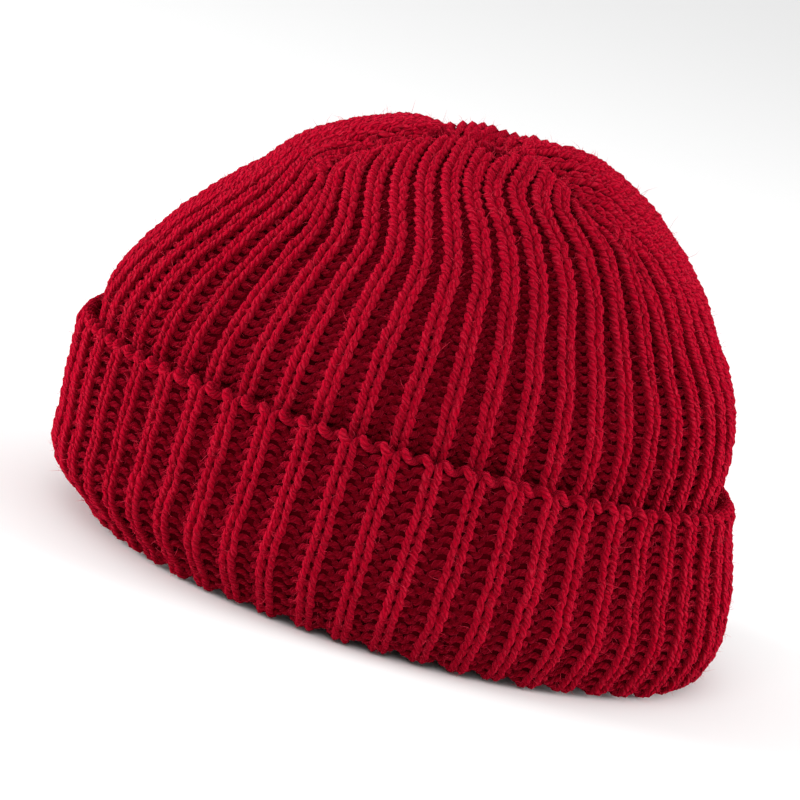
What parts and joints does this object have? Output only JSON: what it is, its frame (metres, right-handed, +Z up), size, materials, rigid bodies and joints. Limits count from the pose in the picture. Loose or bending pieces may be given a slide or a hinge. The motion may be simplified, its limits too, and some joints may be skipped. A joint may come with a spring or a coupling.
{
  "type": "ribbed knit beanie with a turned-up cuff",
  "caption": "Soft ribbed knit cap with a turned-up cuff and a crown closed by darts into a gathered dimple, open below for a head.",
  "frame": {"origin": "on the floor under the middle of the cuff, whose bottom fold the hat stands on", "axes": "+Z up through the crown, -Y towards the front gore that the picture shows, +X to the right of the picture"},
  "size_m": [0.2102, 0.2062, 0.1421],
  "materials": {
    "merino_knit": "matt plied wool in one-by-one rib, slightly fuzzy"
  },
  "bodies": {
    "root": {"crown": "merino_knit", "cuff": "merino_knit"}
  },
  "joints": []
}
